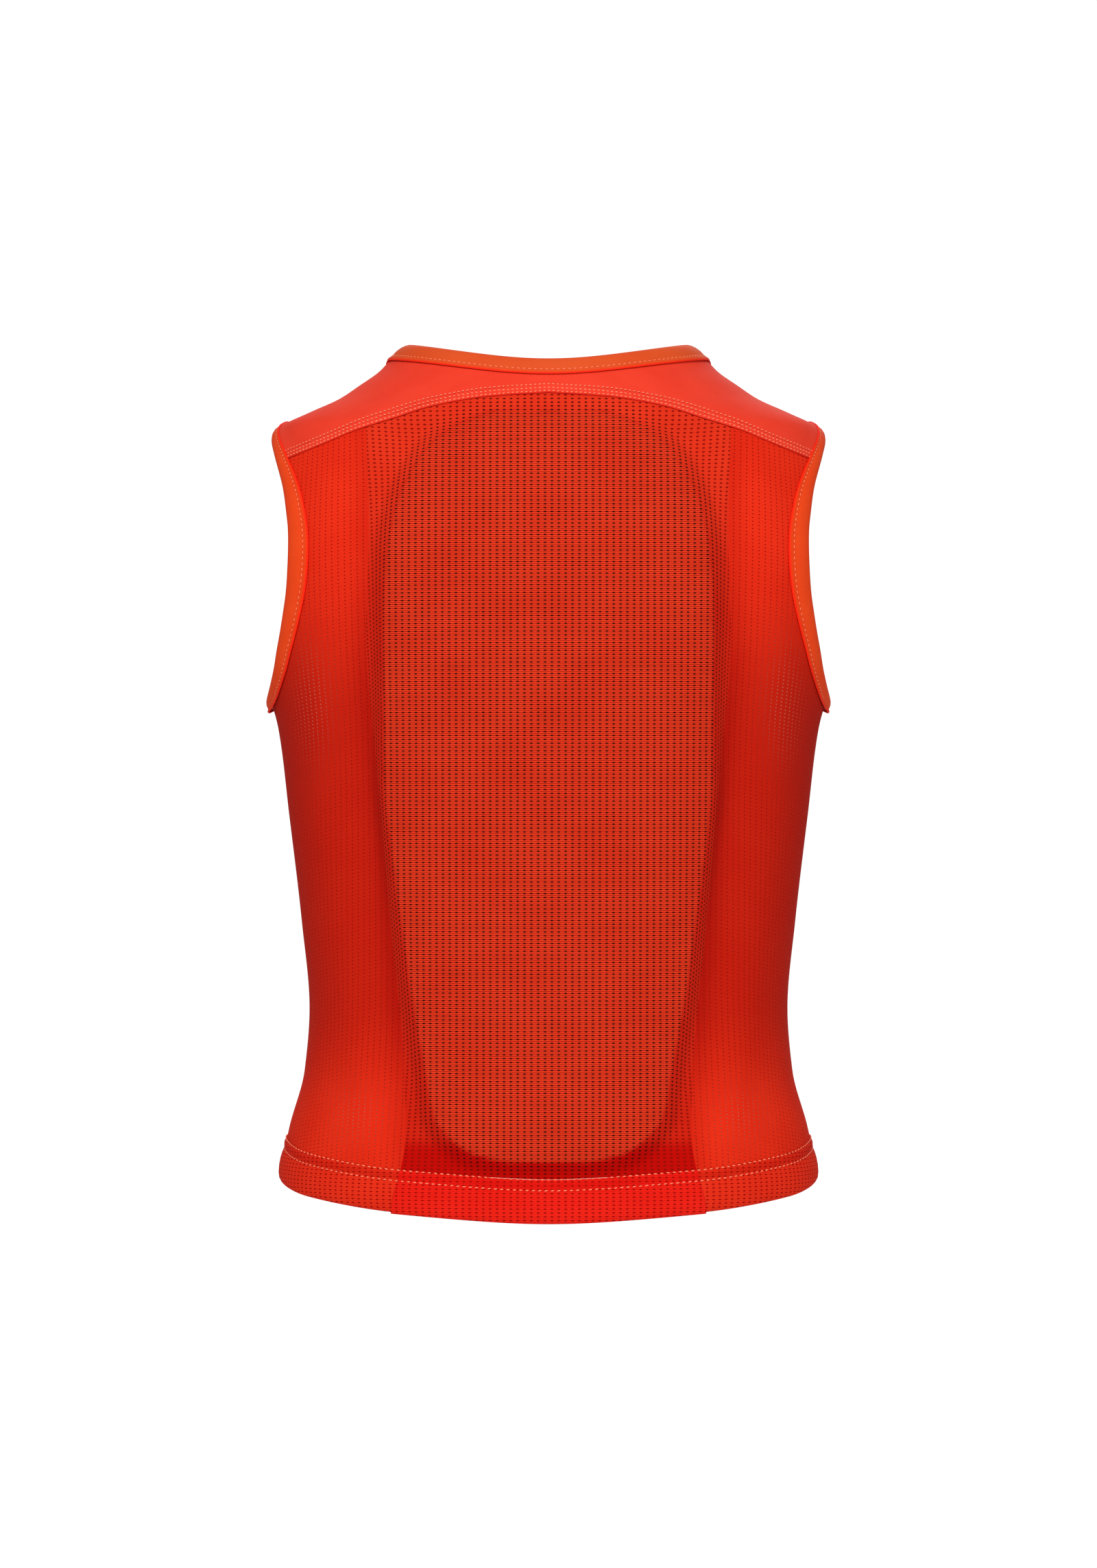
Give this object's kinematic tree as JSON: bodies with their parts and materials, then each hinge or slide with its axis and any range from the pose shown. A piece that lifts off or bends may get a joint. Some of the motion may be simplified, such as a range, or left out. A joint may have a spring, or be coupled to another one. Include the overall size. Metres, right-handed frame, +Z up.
{
  "type": "back protector vest",
  "caption": "Sleeveless zip-front knit vest with a foam back plate in a closed pocket, elastic bindings and a folded hem, for a child.",
  "frame": {"origin": "on the middle of the shoulders, level with the shoulder line beside the neck, where the wearer or a hanger carries the vest", "axes": "+Z up, +Y to the wearer's front, +X to the wearer's right, so the back plate faces -Y"},
  "size_m": [0.296, 0.1873, 0.4482],
  "materials": {
    "mesh_knit": "warp-knitted mesh, matt",
    "plain_knit": "smooth stretch jersey, soft sheen",
    "hem_knit": "stretch jersey, saturated",
    "binding": "folded elastic, satin",
    "shell_foam": "closed-cell foam, matt",
    "comfort_foam": "soft foam, matt",
    "hook_and_loop": "nylon hook and loop",
    "label": "woven satin",
    "zip_tape": "woven polyester",
    "zip_teeth": "moulded acetal",
    "zip_metal": "die-cast zinc, satin nickel plate",
    "grip": "moulded soft plastic"
  },
  "bodies": {
    "root": {"back_centre_panel": "mesh_knit", "side_back_panel_left": "mesh_knit", "side_back_panel_right": "mesh_knit", "side_front_panel_left": "mesh_knit", "side_front_panel_right": "mesh_knit", "shoulder_yoke": "plain_knit", "neck_binding_back": "binding", "armhole_binding_left": "binding", "armhole_binding_right": "binding", "hem_back_centre": "hem_knit", "hem_side_left": "plain_knit", "hem_side_right": "plain_knit", "protector_shell_foam": "shell_foam", "protector_comfort_foam": "comfort_foam", "pocket_lining": "mesh_knit", "lining_loop_strip": "hook_and_loop", "size_label": "label", "care_label": "label"},
    "front_left": {"front_panel_left": "mesh_knit", "neck_binding_front_left": "binding", "hem_front_left": "plain_knit", "zip_tape_left": "zip_tape", "zip_chain_left": "zip_teeth", "top_stop_left": "zip_metal", "insertion_pin": "zip_metal"},
    "front_right": {"front_panel_right": "mesh_knit", "neck_binding_front_right": "binding", "hem_front_right": "plain_knit", "zip_tape_right": "zip_tape", "zip_chain_right": "zip_teeth", "top_stop_right": "zip_metal", "retainer_box": "zip_metal", "wind_flap": "plain_knit"},
    "slider": {"zip_slider": "zip_metal"},
    "pull": {"pull_tab": "zip_metal", "pull_grip": "grip"},
    "flap": {"pocket_flap": "mesh_knit", "flap_hook_strip": "hook_and_loop"}
  },
  "joints": [
    {"name": "front_left_opening", "type": "hinge", "parent": "root", "child": "front_left", "pos_m": [-0.078, 0.079, -0.23], "axis": [0, 0, 1], "range_deg": [0, 130]},
    {"name": "front_right_opening", "type": "hinge", "parent": "root", "child": "front_right", "pos_m": [0.078, 0.079, -0.23], "axis": [0, 0, -1], "range_deg": [0, 130]},
    {"name": "slider_travel", "type": "slide", "parent": "front_right", "child": "slider", "axis": [0, 0, -1], "range_m": [0, 0.356]},
    {"name": "pull_tab_swing", "type": "hinge", "parent": "slider", "child": "pull", "pos_m": [0, 0.0872, -0.043], "axis": [1, 0, 0], "range_deg": [0, 165]},
    {"name": "pocket_flap_lift", "type": "hinge", "parent": "root", "child": "flap", "pos_m": [0, -0.05918, -0.332], "axis": [1, 0, 0], "range_deg": [0, 110]}
  ]
}
